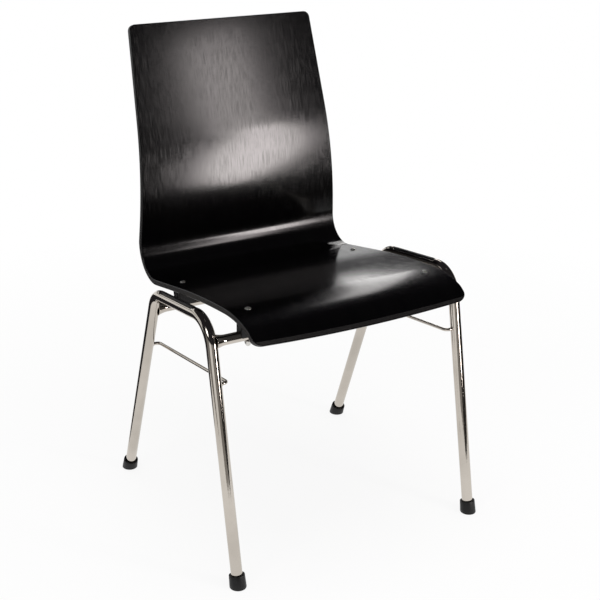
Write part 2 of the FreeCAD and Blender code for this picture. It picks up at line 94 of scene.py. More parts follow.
def numbered(rings):
    # all points in one list, and each ring as numbers into it
    points = [p for ring in rings for p in ring]
    count = len(rings[0])
    return points, [list(range(i * count, (i + 1) * count)) for i in range(len(rings))]


def ringsPiece(name, rings, capped=False, closedAlong=False):
    points, rows = numbered(rings)
    faces = quadRows(rows, closedAcross=True, closedAlong=closedAlong)
    if capped:
        faces += [tuple(reversed(rows[0])), tuple(rows[-1])]
    return meshPiece(name, points, faces)


def circle(center, first, second, radius, count):
    # first and second are square to each other in the circle's plane
    spots = []
    for k in range(count):
        turn = math.tau * k / count
        spots.append(center + (first * math.cos(turn) + second * math.sin(turn)) * radius)
    return spots


def sweepPiece(name, path, side, radius, sidesCount, shape=None):
    # a round bar along a path that lies in one plane, side is that plane's normal
    rings = []
    last = len(path) - 1
    for i, spot in enumerate(path):
        ahead = (path[min(i + 1, last)] - path[max(i - 1, 0)]).normalized()
        ring = circle(spot, side, ahead.cross(side).normalized(), radius, sidesCount)
        rings.append([shape(p) for p in ring] if shape else ring)
    return ringsPiece(name, rings, capped=True)


def addRun(path, end, step):
    start = path[-1]
    count = max(1, round((end - start).length / step))
    path.extend(start.lerp(end, i / count) for i in range(1, count + 1))


def bentPath(corners, radii, straightStep, bendStep):
    # straight runs through the corners, each rounded by a tangent arc
    path = [corners[0]]
    for before, corner, after, radius in zip(corners, corners[1:], corners[2:], radii):
        back, ahead = (before - corner).normalized(), (after - corner).normalized()
        half = back.angle(ahead) / 2
        length = radius / math.tan(half)
        first, last = corner + back * length, corner + ahead * length
        center = corner + (back + ahead).normalized() * (radius / math.sin(half))
        addRun(path, first, straightStep)
        swept = math.pi - 2 * half
        steps = max(2, round(swept / bendStep))
        spoke, normal = first - center, back.cross(ahead).normalized()
        for i in range(1, steps):
            path.append(center + Matrix.Rotation(-swept * i / steps, 3, normal) @ spoke)
        path.append(last)
    addRun(path, corners[-1], straightStep)
    return path


def squareTo(axis):
    # two directions square to an axis and to each other, the first also to across where it can be
    side = axis.cross(across if abs(axis.x) < 0.9 else up).normalized()
    return side, axis.cross(side)


def turnedPiece(name, profile, base, axis, sidesCount):
    # profile is (along, radius), turned round an axis
    side, other = squareTo(axis)
    return ringsPiece(name, [circle(base + axis * along, side, other, radius, sidesCount)
                             for along, radius in profile])


# Materials: a noise is (scale, detail, stretch), a stop is (place, value or colour)
def newMaterial(name):
    material = bpy.data.materials.new(name)
    material.use_nodes = True
    return material, material.node_tree, material.node_tree.nodes["Principled BSDF"]


def addNoise(tree, place, scale, detail, stretch=(1, 1, 1)):
    mapping = tree.nodes.new("ShaderNodeMapping")
    mapping.inputs["Scale"].default_value = stretch
    tree.links.new(place, mapping.inputs["Vector"])
    noise = tree.nodes.new("ShaderNodeTexNoise")
    noise.inputs["Scale"].default_value = scale
    noise.inputs["Detail"].default_value = detail
    tree.links.new(mapping.outputs["Vector"], noise.inputs["Vector"])
    return noise.outputs["Fac"]


def addRamp(tree, source, stops, socket):
    node = tree.nodes.new("ShaderNodeValToRGB")
    for element, (place, value) in zip(node.color_ramp.elements, stops):
        element.position = place
        element.color = (*value, 1) if isinstance(value, tuple) else (value, value, value, 1)
    tree.links.new(source, node.inputs["Fac"])
    tree.links.new(node.outputs["Color"], socket)
    return node.outputs["Color"]


def addBump(tree, height, strength, distance, below=None):
    # below is the bump that this one lies over
    bump = tree.nodes.new("ShaderNodeBump")
    bump.inputs["Strength"].default_value = strength
    bump.inputs["Distance"].default_value = distance
    tree.links.new(height, bump.inputs["Height"])
    if below:
        tree.links.new(below.outputs["Normal"], bump.inputs["Normal"])
    tree.links.new(bump.outputs["Normal"], tree.nodes["Principled BSDF"].inputs["Normal"])
    return bump


def cloudedFinish(name, look):
    # clouds vary the colour, the skin varies the roughness, and the bumps lie over each other
    material, tree, shader = newMaterial(name)
    place = tree.nodes.new("ShaderNodeTexCoord").outputs["Object"]
    addRamp(tree, addNoise(tree, place, *look["clouds"]), look["colours"], shader.inputs["Base Color"])
    addRamp(tree, addNoise(tree, place, *look["skin"]), look["roughness"], shader.inputs["Roughness"])
    bump = None
    for noise, strength, distance in look["bumps"]:
        bump = addBump(tree, addNoise(tree, place, *noise), strength, distance, bump)
    shader.inputs["Metallic"].default_value = look["metallic"]
    shader.inputs["Specular IOR Level"].default_value = look["specular"]
    return material


# warm chrome: slow waves of the drawn tube, then fine polishing marks
chromeLook = {
    "clouds": (9.0, 4.0), "colours": [(0.35, (0.49, 0.45, 0.40)), (0.6, (0.58, 0.535, 0.48))],
    "skin": (420.0, 5.0), "roughness": [(0.3, 0.045), (0.75, 0.13)],
    "bumps": [((55.0, 2.0), 0.05, 0.002), ((900.0, 2.0), 0.06, 0.0002)],
    "metallic": 1.0, "specular": 0.5,
}

# the sheet's edge: fibres of the plies under the same black lacquer
edgeLook = {
    "clouds": (700.0, 4.0), "colours": [(0.35, (0.008, 0.0072, 0.0072)), (0.7, (0.024, 0.0215, 0.021))],
    "skin": (700.0, 4.0), "roughness": [(0.3, 0.38), (0.75, 0.6)],
    "bumps": [((700.0, 4.0), 0.25, 0.0002)],
    "metallic": 0.0, "specular": 0.5,
}

# caps, spacers and stacking strips: moulded black plastic with a fine skin
plasticLook = {
    "clouds": (60.0, 4.0), "colours": [(0.35, (0.0035, 0.0035, 0.004)), (0.7, (0.008, 0.0078, 0.008))],
    "skin": (1400.0, 3.0), "roughness": [(0.3, 0.38), (0.75, 0.55)],
    "bumps": [((1400.0, 3.0), 0.2, 0.0002)],
    "metallic": 0.0, "specular": 0.3,
}

# screws, washers and nuts: zinc plated, slightly clouded
fastenerLook = {
    "clouds": (300.0, 4.0), "colours": [(0.35, (0.60, 0.585, 0.55)), (0.7, (0.78, 0.77, 0.74))],
    "skin": (300.0, 4.0), "roughness": [(0.3, 0.24), (0.75, 0.38)],
    "bumps": [((300.0, 4.0), 0.1, 0.0002)],
    "metallic": 1.0, "specular": 0.5,
}

# satin black over open-pored veneer, the grain runs along the sheet
lacquerLook = {
    "figure": (60.0, 5.0, (1.0, 0.03, 1.0)), "roughness": [(0.3, 0.12), (0.75, 0.14)],
    "colours": [(0.35, (0.0006, 0.00055, 0.0007)), (0.7, (0.0012, 0.0011, 0.0012))],
    "pores": (1000.0, 3.0, (1.0, 0.03, 1.0)), "poreMask": [(0.50, 0.0), (0.62, 1.0)],
    "poreRoughness": 0.21, "poreDent": (0.034, 0.0002),
    "waves": (14.0, 2.0), "waveHeight": (0.005, 0.002),
}


def blackLacquer():
    look = lacquerLook
    material, tree, shader = newMaterial("blackLacquer")
    grain = tree.nodes.new("ShaderNodeUVMap")
    grain.uv_map = "grain"
    place = grain.outputs["UV"]
    figure = addNoise(tree, place, *look["figure"])
    addRamp(tree, figure, look["colours"], shader.inputs["Base Color"])
    mix = tree.nodes.new("ShaderNodeMix")
    mix.data_type = "FLOAT"
    addRamp(tree, figure, look["roughness"], mix.inputs["A"])
    mix.inputs["B"].default_value = look["poreRoughness"]
    pores = addRamp(tree, addNoise(tree, place, *look["pores"]), look["poreMask"], mix.inputs["Factor"])
    tree.links.new(mix.outputs["Result"], shader.inputs["Roughness"])
    waves = addBump(tree, addNoise(tree, place, *look["waves"]), *look["waveHeight"])
    dents = addBump(tree, pores, *look["poreDent"], waves)
    dents.invert = True
    return material


chrome = cloudedFinish("chromedTube", chromeLook)
edgeFinish = cloudedFinish("lacqueredEdge", edgeLook)
plastic = cloudedFinish("blackPlastic", plasticLook)
bright = cloudedFinish("brightFastener", fastenerLook)
lacquer = blackLacquer()
print("materials ready")

# Side frames: one bent tube each, pressed flat under its stacking strip
tubeFrame = {
    "halfWidth": 0.2425, "radius": 0.010, "frontFoot": -0.251, "rearFoot": 0.2175,
    "frontAngle": 11.1, "rearAngle": -21.4,   # legs from the vertical, degrees rearwards going up
    "runAngle": 7.3, "runHeight": 0.434,      # top run, degrees down to the rear, height at Y 0
    "frontBend": 0.050, "rearBend": 0.042, "tubeStop": 0.007,
    "pressDepth": 0.0025, "pressEdge": 0.00005,
    "straightStep": 0.012, "bendStep": math.radians(2.5), "sidesCount": 64,
}
stackStrip = {
    "length": 0.128, "width": 0.0076, "crown": 0.0004, "endSteps": 16,
    # share of the half width and depth below the crown, from the middle to the edge
    "rows": [(0.0, 0.0), (0.35, 0.0), (0.7, 0.0), (0.88, 0.00008), (0.97, 0.00028), (1.0, 0.0006)],
}

flatHeight = tubeFrame["radius"] - tubeFrame["pressDepth"]
legSlope = {end: math.tan(math.radians(tubeFrame[end + "Angle"])) for end in ends}
runFall = math.tan(math.radians(tubeFrame["runAngle"]))


def legSpot(end, z):
    # a point of a leg's axis, in the chair's middle plane
    return Vector((0, tubeFrame[end + "Foot"] + z * legSlope[end], z))


def runSpot(end, drop=0.0):
    # where a leg crosses the top run, or a line that far below it
    height = tubeFrame["runHeight"] - drop
    y = (tubeFrame[end + "Foot"] + legSlope[end] * height) / (1 + legSlope[end] * runFall)
    return Vector((0, y, height - y * runFall))


legUp = {end: (legSpot(end, 1) - legSpot(end, 0)).normalized() for end in ends}
runBack = Vector((0, 1, -runFall)).normalized()
runUp = across.cross(runBack)


def runStart(end, inward):
    # where the bend at this end meets the straight top run
    turn = math.pi - (-legUp[end]).angle(inward)
    return runSpot(end) + inward * tubeFrame[end + "Bend"] * math.tan(turn / 2)


runMiddle = (runStart("front", runBack) + runStart("rear", -runBack)) / 2


def sideFrame(side, sign):
    f = tubeFrame
    shift = across * sign * f["halfWidth"]
    corners = [legSpot("front", 0) + legUp["front"] * f["tubeStop"], runSpot("front"),
               runSpot("rear"), legSpot("rear", 0) + legUp["rear"] * f["tubeStop"]]
    path = bentPath([c + shift for c in corners], [f["frontBend"], f["rearBend"]],
                    f["straightStep"], f["bendStep"])
    middle = runMiddle + shift
    half = stackStrip["length"] / 2
    for place in (-half, half):   # close rows on both sides of each end of the flat
        path += [middle + runBack * (place - f["pressEdge"]), middle + runBack * (place + f["pressEdge"])]
    path.sort(key=lambda spot: spot.y)

    def pressed(point):
        along, height = (point - middle).dot(runBack), (point - middle).dot(runUp)
        if abs(along) < half and height > flatHeight:
            return point - runUp * (height - flatHeight)
        return point

    tube = sweepPiece(side + "FrameTube", path, across, f["radius"], f["sidesCount"], pressed)
    fit(tube, chrome, side + "_side_frame")


for side, sign in sides.items():
    sideFrame(side, sign)
print("side frames ready")


# Stacking strips: crowned plastic with round ends
def stackingStrip(side, sign):
    s = stackStrip
    middle = runMiddle + across * sign * tubeFrame["halfWidth"]
    crownRadius = tubeFrame["radius"] + s["crown"]
    half = s["width"] / 2
    straight = s["length"] / 2 - half
    outline = []
    for end in (1, -1):
        for k in range(s["endSteps"] + 1):
            turn = math.pi * k / s["endSteps"]
            outline.append((end * half * math.cos(turn), end * (straight + half * math.sin(turn))))

    def rowAt(share, height):
        # the outline drawn in to a share of its width, at a height that follows the crown
        spots = []
        for x, y in outline:
            wide = x * share
            far = math.copysign(max(abs(y) - half * (1 - share), 0.0), y)
            spots.append(middle + across * wide + runBack * far + runUp * height(wide))
        return spots

    rings = [rowAt(share, lambda wide: math.sqrt(crownRadius ** 2 - wide ** 2) - sink)
             for share, sink in s["rows"]]
    rings.append(rowAt(1.0, lambda wide: flatHeight))
    strip = ringsPiece(side + "StackingStrip", rings)
    fit(strip, plastic, side + "_stacking_strip")


for side, sign in sides.items():
    stackingStrip(side, sign)
print("stacking strips ready")

# Side rods: their ends turn out to the legs and are welded on
rodSizes = {"radius": 0.003, "inset": 0.0215, "drop": 0.110, "bend": 0.009, "step": 0.01,
            "bendStep": math.radians(5), "sidesCount": 32}
weldSizes = {"radius": 0.0011, "outside": 0.0004, "rows": 40, "sidesCount": 10,
             "ripples": [(7, 0.12), (11, 0.08)]}   # waves round the joint, share of the bead


def weldBead(name, legAxisSpot, axis, barRadius, legDirection):
    # a rippled bead where a bar runs along axis out of a leg
    w = weldSizes
    third = legDirection.cross(axis).normalized()
    path = []
    for k in range(w["rows"]):
        turn = math.tau * k / w["rows"]
        sideways, along = barRadius * math.sin(turn), barRadius * math.cos(turn)
        depth = math.sqrt(max(0.0, tubeFrame["radius"] ** 2 - sideways ** 2))
        path.append(legAxisSpot + axis * depth + legDirection * along + third * sideways)
    rings = []
    for k, spot in enumerate(path):
        ahead = (path[(k + 1) % w["rows"]] - path[k - 1]).normalized()
        out = spot - legAxisSpot
        out = (out - ahead * out.dot(ahead)).normalized()
        swell = 1 + sum(share * math.sin(waves * math.tau * k / w["rows"]) for waves, share in w["ripples"])
        rings.append(circle(spot, out, ahead.cross(out), w["radius"] * swell, w["sidesCount"]))
    return ringsPiece(name, rings, closedAlong=True)


def sideRod(side, sign):
    r = rodSizes
    front, rear = runSpot("front", r["drop"]), runSpot("rear", r["drop"])
    outer = across * sign * tubeFrame["halfWidth"]
    inner = across * sign * (tubeFrame["halfWidth"] - r["inset"])
    corners = [front + outer, front + inner, rear + inner, rear + outer]
    path = bentPath(corners, [r["bend"]] * 2, r["step"], r["bendStep"])
    normal = across.cross(rear - front).normalized()
    pieces = [sweepPiece(side + "Rod", path, normal, r["radius"], r["sidesCount"])]
    for end, spot in (("front", front), ("rear", rear)):
        pieces.append(weldBead(side + "RodBead", spot + outer, -across * sign,
                               r["radius"] + weldSizes["outside"], legUp[end]))
    fit(joinPieces(side + "SideRod", pieces), chrome, side + "_side_rod")


for side, sign in sides.items():
    sideRod(side, sign)
print("side rods ready")

# Shell: one moulded sheet, its top face traced both ways from a mark on the seat
sheetSizes = {
    "ply": 0.010, "mark": (0.036, 0.4379), "seatAngle": math.radians(10.7),
    "seatHalf": 0.2085, "topHalf": 0.1855, "topCorner": 0.011, "frontCorner": 0.018,
    "bow": 0.0065, "bowBand": 0.045,          # front edge bowed forward, and how far back that fades
    "edge": 0.0011, "support": 0.0006, "edgeSteps": 4,
    "layers": 7, "groove": 0.00012, "grooveHalf": 0.00018,
    "columns": 44, "cornerSteps": 10, "dullLip": 0.012,   # the lip's end has the edge's finish
    # rows lie closer in the tight bends, measured from the lip's end and from the mark
    "lipBend": (0.018, 0.13), "lipStep": 0.0035, "heelBend": (0.09, 0.225), "heelStep": 0.003,
    "seatStep": 0.009, "backStep": 0.007, "topMargin": 0.02,
}
# bends are (radius, turn in degrees), straight runs are (length, 0)
toLip = [(1.840, 5.8), (0.213, 20.5), (0.047, 45.2), (sheetSizes["bow"], 0)]
toTop = [(0.096, 0), (0.051, 105.0), (0.025, 0), (0.560, -20.3), (0.1723, 0)]


def runLengths(runs):
    # to (length, turn in radians), and the whole length
    lengths = []
    for size, turn in runs:
        lengths.append((size * math.radians(abs(turn)) if turn else size, math.radians(turn)))
    return lengths, sum(length for length, turn in lengths)


lipRuns, lipLength = runLengths(toLip)
topRuns, topLength = runLengths(toTop)


def walk(heading, runs, distance):
    # from the mark along the runs, to the place and heading there
    y, z = sheetSizes["mark"]
    for length, turn in runs:
        part = min(distance, length)
        if turn:
            radius, swept = length / turn, turn * part / length
            y += radius * (math.sin(heading + swept) - math.sin(heading))
            z += radius * (math.cos(heading) - math.cos(heading + swept))
            heading += swept
        else:
            y, z = y + math.cos(heading) * part, z + math.sin(heading) * part
        distance -= part
        if distance <= 0:
            break
    return y, z, heading


def sheetSpot(s):
    # a point of the sheet's top face and its normal, s from the mark, negative to the lip
    if s < 0:
        y, z, heading = walk(math.pi - sheetSizes["seatAngle"], lipRuns, -s)
        return Vector((0, y, z)), Vector((0, math.sin(heading), -math.cos(heading)))
    y, z, heading = walk(-sheetSizes["seatAngle"], topRuns, s)
    return Vector((0, y, z)), Vector((0, -math.sin(heading), math.cos(heading)))


heelTop, backTop = sheetSpot(topRuns[0][0] + topRuns[1][0])[0].z, sheetSpot(topLength)[0].z


def halfWidth(s, inset):
    # the sheet narrows from the heel to its top, and rounds off at its four corners
    t = sheetSizes
    z = sheetSpot(s)[0].z
    share = max(0.0, (z - heelTop) / (backTop - heelTop)) if s > 0 else 0.0
    half = t["seatHalf"] + (t["topHalf"] - t["seatHalf"]) * share - inset
    toTopEnd, toLipEnd = topLength - inset - s, s + lipLength - inset
    for corner, toEnd in ((t["topCorner"], toTopEnd), (t["frontCorner"], toLipEnd)):
        radius = corner - inset
        if toEnd < radius:
            half -= radius - math.sqrt(max(0.0, radius ** 2 - (radius - toEnd) ** 2))
    return half


def rowBands():
    # stretches of the sheet as (first, last, step)
    t = sheetSizes
    lipStart, lipEnd = (along - lipLength for along in t["lipBend"])
    heelStart, heelEnd = t["heelBend"]
    return [(lipStart, lipEnd, t["lipStep"]), (lipEnd, heelStart, t["seatStep"]),
            (heelStart, heelEnd, t["heelStep"]), (heelEnd, topLength - t["topMargin"], t["backStep"])]


def rowPlaces(inset):
    t = sheetSizes
    low, high = inset - lipLength, topLength - inset
    frontRadius, topRadius = t["frontCorner"] - inset, t["topCorner"] - inset
    turns = [math.pi / 2 * k / t["cornerSteps"] for k in range(t["cornerSteps"] + 1)]
    places = [low + frontRadius * (1 - math.cos(a)) for a in turns]
    for first, last, step in rowBands():
        at = max(first, places[-1]) + step
        while at < last:
            places.append(at)
            at += step
    return places + [high - topRadius * (1 - math.cos(a)) for a in reversed(turns)]


def bowAt(x, s):
    t = sheetSizes
    fade = max(0.0, 1 - (s + lipLength) / t["bowBand"])
    return t["bow"] * (x / t["seatHalf"]) ** 2 * fade


def onSheet(x, s, depth):
    spot, normal = sheetSpot(min(max(s, -lipLength), topLength))
    return Vector((x, spot.y, spot.z)) - normal * depth


def borderOf(rows):
    # once round the outside of a grid
    return rows[0][:-1] + [row[-1] for row in rows[:-1]] + rows[-1][:0:-1] + [row[0] for row in rows[:0:-1]]


def edgeRings():
    # (outward, depth) down the edge: a rounded corner, a groove at each glue line, a rounded corner
    t = sheetSizes
    turns = [math.pi / 2 * k / t["edgeSteps"] for k in range(t["edgeSteps"] + 1)]
    corner = [(t["support"] + t["edge"] * math.sin(a), t["edge"] * (1 - math.cos(a))) for a in turns]
    full = t["support"] + t["edge"]
    glueLines = []
    for k in range(1, t["layers"]):
        depth = t["ply"] * k / t["layers"]
        glueLines += [(full, depth - t["grooveHalf"]), (full - t["groove"], depth),
                      (full, depth + t["grooveHalf"])]
    return corner + glueLines + [(out, t["ply"] - depth) for out, depth in reversed(corner)]


def seatShell():
    t = sheetSizes
    inset = t["edge"] + t["support"]
    grid = []
    for s in rowPlaces(inset):
        half = halfWidth(s, inset)
        places = [half * (2 * j / t["columns"] - 1) for j in range(t["columns"] + 1)]
        grid.append([(x, s + bowAt(x, s)) for x in places])
    points, uvs = [], []

    def addPoint(x, s, depth):
        points.append(onSheet(x, s, depth))
        uvs.append((x, s))
        return len(points) - 1

    top = [[addPoint(x, s, 0) for x, s in row] for row in grid]
    under = [[addPoint(x, s, t["ply"]) for x, s in row] for row in grid]
    faces = quadRows(top) + reversedFaces(quadRows(under))
    lipEnd = t["dullLip"] - lipLength
    dull = [row[0][1] < lipEnd for row in grid[:-1] for _ in range(t["columns"])] * 2   # top, then under

    border = borderOf(grid)
    count = len(border)
    outward = []
    for k in range(count):
        along = (Vector(border[(k + 1) % count]) - Vector(border[k - 1])).normalized()
        outward.append(Vector((along.y, -along.x)))
    loops = [borderOf(top)]
    for grow, depth in edgeRings():
        loops.append([addPoint(x + out.x * grow, s + out.y * grow, depth)
                      for (x, s), out in zip(border, outward)])
    loops.append(borderOf(under))
    for number, (loop, after) in enumerate(zip(loops, loops[1:])):
        faces += reversedFaces(quadRows([loop, after], closedAcross=True))
        dull += [t["edgeSteps"] <= number < len(loops) - 1 - t["edgeSteps"]] * count

    shell = meshPiece("seatShell", points, faces)
    layer = shell.data.uv_layers.new(name="grain")
    for loop in shell.data.loops:
        layer.data[loop.index].uv = uvs[loop.vertex_index]
    shell.data.materials.append(lacquer)
    shell.data.materials.append(edgeFinish)
    for face, isDull in zip(shell.data.polygons, dull):
        face.material_index = int(isDull)
    return fit(shell, lacquer, "seat_shell")


shellPiece = seatShell()
print("shell ready", len(shellPiece.data.vertices), "points")

# Crossbars under the seat: tubes that flare onto the legs
barSizes = {
    "radius": 0.009, "wall": 0.0015, "flare": 0.004, "flareLength": 0.019, "flarePower": 1.8,
    "wrap": 0.004, "rim": 0.0004, "step": 0.02, "flareSteps": 24, "boreSteps": 16, "sidesCount": 64,
    "frontDrop": 0.03613, "rearDrop": 0.02826, "seatGap": 0.0003,      # bar's axis to spacer top to shell
    "heights": (0.30, 0.45), "tries": 40, "seatStep": 0.0005, "seatReach": 0.12,   # search for its place
}


def barPlace(end):
    # halve the heights on the leg until the bar lies its spacer's height below the shell
    b = barSizes
    depth = b[end + "Drop"] + b["seatGap"] + sheetSizes["ply"]
    count = int((lipLength + b["seatReach"]) / b["seatStep"])
    seat = [sheetSpot(b["seatStep"] * k - lipLength) for k in range(count)]
    low, high = b["heights"]
    for _ in range(b["tries"]):
        z = (low + high) / 2
        spot = legSpot(end, z)
        foot, normal = min(seat, key=lambda place: (place[0] - spot).length)
        low, high = (z, high) if (foot - spot).length > depth else (low, z)
    return spot, foot, normal


bars = {end: barPlace(end) for end in ends}   # the bar's axis, the spot above it on the shell, its normal


def crossbar(end):
    b = barSizes
    tip = tubeFrame["halfWidth"] - tubeFrame["radius"] + b["wrap"]
    neck = tip - b["flareLength"]
    flare = []
    for k in range(b["flareSteps"] + 1):
        share = k / b["flareSteps"]
        flare.append((neck + b["flareLength"] * share, b["radius"] + b["flare"] * share ** b["flarePower"]))
    mouth = flare[-1][1]
    half = [(k * b["step"], b["radius"]) for k in range(int(neck / b["step"]) + 1)] + flare[:-1]
    half += [(tip - b["rim"], mouth), (tip, mouth - b["rim"]), (tip, mouth - b["wall"] + b["rim"])]
    half += [(x, radius - b["wall"]) for x, radius in reversed(flare[-b["boreSteps"]:])]
    profile = [(-x, radius) for x, radius in reversed(half)] + half[1:]
    bar = turnedPiece(end + "Crossbar", profile, bars[end][0], across, b["sidesCount"])
    fit(bar, chrome, end + "_crossbar")


for end in ends:
    crossbar(end)
print("crossbars ready")

# Spacers: blocks with round corners that sit astride the bars
spacerSizes = {
    "length": 0.034, "depth": 0.022, "corner": 0.004, "cornerSteps": 6, "step": 0.001,
    "top": [(0.0012, 0.0), (0.00042, 0.0), (0.000144, 0.0003), (0.0, 0.0012)],   # drawn in, below the top
    "hem": 0.0004, "hemShare": (0.99, 0.985),   # last row above the bar, then drawn in to these shares
    "frontHalf": 0.1757, "rearHalf": 0.1808,    # from the chair's middle out to the block and its screw
}


def spacer(end, side, sign):
    p, bar = spacerSizes, barSizes["radius"]
    spot, _, normal = bars[end]
    back = across.cross(normal).normalized()
    middle = spot + across * sign * p[end + "Half"]
    outline = []
    for cornerX, cornerY, start in ((1, 1, 0), (-1, 1, 90), (-1, -1, 180), (1, -1, 270)):
        for k in range(p["cornerSteps"] + 1):
            turn = math.radians(start + 90 * k / p["cornerSteps"])
            outline.append((cornerX * (p["length"] / 2 - p["corner"]) + p["corner"] * math.cos(turn),
                            cornerY * (p["depth"] / 2 - p["corner"]) + p["corner"] * math.sin(turn)))
    dense = []
    for (x0, y0), (x1, y1) in zip(outline, outline[1:] + outline[:1]):
        count = max(1, round(math.hypot(x1 - x0, y1 - y0) / p["step"]))
        dense += [(x0 + (x1 - x0) * k / count, y0 + (y1 - y0) * k / count) for k in range(count)]

    def place(x, y, z):
        return middle + across * x + back * y + normal * z

    def drawnIn(value, amount):
        return value - math.copysign(min(amount, abs(value)), value)

    def saddle(y):
        return math.sqrt(max(0.0, bar ** 2 - y ** 2))

    rings = []
    for amount, drop in p["top"]:
        height = barSizes[end + "Drop"] - drop
        rings.append([place(drawnIn(x, amount), drawnIn(y, amount), height) for x, y in dense])
    rings.append([place(x, y, saddle(y) + p["hem"]) for x, y in dense])
    shareX, shareY = p["hemShare"]
    rings.append([place(x * shareX, y * shareY, saddle(y)) for x, y in dense])
    points, rows = numbered(rings)
    faces = reversedFaces(quadRows(rows, closedAcross=True)) + [tuple(rows[0])]
    block = meshPiece(end + side.capitalize() + "Spacer", points, faces)
    fit(block, plastic, "%s_%s_spacer" % (end, side))


for end in ends:
    for side, sign in sides.items():
        spacer(end, side, sign)
print("spacers ready")

# Screws with a hexagon socket, washers and domed nuts under the bars
screwSizes = {
    "shank": 0.003, "past": 0.004, "shankSides": 32,   # shank's radius, and how far it goes past the bar
    "radius": 0.00525, "height": 0.0022, "foot": 0.0002, "under": 0.95, "sidesCount": 48,
    "domeTop": 0.42, "domeSteps": 9,                   # the dome narrows to this share of the head
    "socketShare": 0.40, "socketDepth": 0.55,          # shares of the head's radius and height
    "socketRim": 1.12, "socketFloor": 0.97,            # shares of the socket's radius
    "socketEdge": 0.0001,
}
washerSizes = {"radius": 0.0075, "height": 0.0016, "edge": 0.0003, "sidesCount": 40}
nutSizes = {
    "across": 0.010, "height": 0.005, "edge": 0.0003, "bevel": 0.0007, "bevelShare": 0.955,
    "dome": 0.0045, "domeFoot": 0.98, "domeStep": 10, "tip": 0.00005, "sidesCount": 72,
}


def hexRing(center, axis, radius, count, limit=math.inf):
    # a hexagon with this radius at its corners, cut round where a limit is smaller
    side, other = squareTo(axis)
    spots = []
    for k in range(count):
        turn = math.tau * k / count
        fromFlat = turn % (math.pi / 3) - math.pi / 6
        reach = min(radius * math.cos(math.pi / 6) / math.cos(fromFlat), limit)
        spots.append(center + (side * math.cos(turn) + other * math.sin(turn)) * reach)
    return spots


def screwHead(name, base, axis):
    s = screwSizes
    radius, height, foot, count = s["radius"], s["height"], s["foot"], s["sidesCount"]
    socket = radius * s["socketShare"]
    profile = [(0.0, s["shank"]), (0.0, radius * s["under"]), (foot, radius)]
    for k in range(1, s["domeSteps"]):
        turn = math.pi / 2 * k / s["domeSteps"]
        share = s["domeTop"] + (1 - s["domeTop"]) * math.cos(turn)
        profile.append((foot + (height - foot) * math.sin(turn), radius * share))
    profile.append((height, socket * s["socketRim"]))
    head = turnedPiece(name, profile, base, axis, count)
    floorSpot = base + axis * height * (1 - s["socketDepth"])
    floorRing = hexRing(floorSpot, axis, socket * s["socketFloor"], count)
    rimRing = circle(base + axis * height, *squareTo(axis), socket * s["socketRim"], count)
    edgeRing = hexRing(base + axis * (height - s["socketEdge"]), axis, socket, count)
    wall = ringsPiece(name + "Socket", [rimRing, edgeRing, floorRing])
    floor = meshPiece(name + "Floor", floorRing, [tuple(range(count))], False)
    return [head, wall, floor]


def washer(name, top, axis):
    w, bore = washerSizes, screwSizes["shank"]
    radius, height, edge = w["radius"], w["height"], w["edge"]
    profile = [(0, bore), (0, radius - edge), (-edge, radius), (edge - height, radius),
               (-height, radius - edge), (-height, bore)]
    return turnedPiece(name, profile, top, axis, w["sidesCount"])


def domeNut(name, base, axis):
    n = nutSizes
    corner, flat, height = n["across"] / math.sqrt(3), n["across"] / 2, n["height"]
    body = [(0, screwSizes["shank"]), (0, flat), (n["edge"], corner * n["bevelShare"]),
            (n["bevel"], corner), (height - n["bevel"], corner), (height, flat * n["domeFoot"])]
    for degrees in range(n["domeStep"], 91, n["domeStep"]):
        turn = math.radians(degrees)
        body.append((height + n["dome"] * math.sin(turn), max(n["dome"] * math.cos(turn), n["tip"])))
    return ringsPiece(name, [hexRing(base + axis * along, axis, corner, n["sidesCount"], limit)
                             for along, limit in body])


def seatFixings():
    s = screwSizes
    screws, washers, nuts = [], [], []
    for end, (spot, foot, normal) in bars.items():
        under = (foot - spot).length + barSizes["radius"]
        for side, sign in sides.items():
            at = foot + across * sign * spacerSizes[end + "Half"]
            underBar = at - normal * under
            name = end + side.capitalize()
            shank = [(0.0, s["shank"]), (-under - s["past"], s["shank"])]
            screws += screwHead(name + "Head", at, normal)
            screws.append(turnedPiece(name + "Shank", shank, at, normal, s["shankSides"]))
            washers.append(washer(name + "Washer", underBar, normal))
            nuts.append(domeNut(name + "Nut", underBar - normal * washerSizes["height"], -normal))
    fit(joinPieces("seatScrews", screws), bright, "seat_screws")
    fit(joinPieces("seatWashers", washers), bright, "seat_washers")
    fit(joinPieces("seatNuts", nuts), bright, "seat_nuts")


seatFixings()
print("screws, washers and nuts ready")

# Foot caps: plastic cups cut level at the floor
capSizes = {
    "baseRadius": 0.0145, "rimRadius": 0.0137, "height": 0.0225, "edge": 0.0009, "lip": 0.0007,
    "roundShare": 0.3, "sidesCount": 64,
    "hollow": [(0.0006, 0.55), (0.0, 0.62)],                    # above the floor, share of the base
    "skirt": (0.0085, 0.014),                                   # rows up the side
    "mouth": [(0.0, 0.0012), (0.0004, 0.0003), (0.003, 0.0)],   # down from the top, outside the tube
}


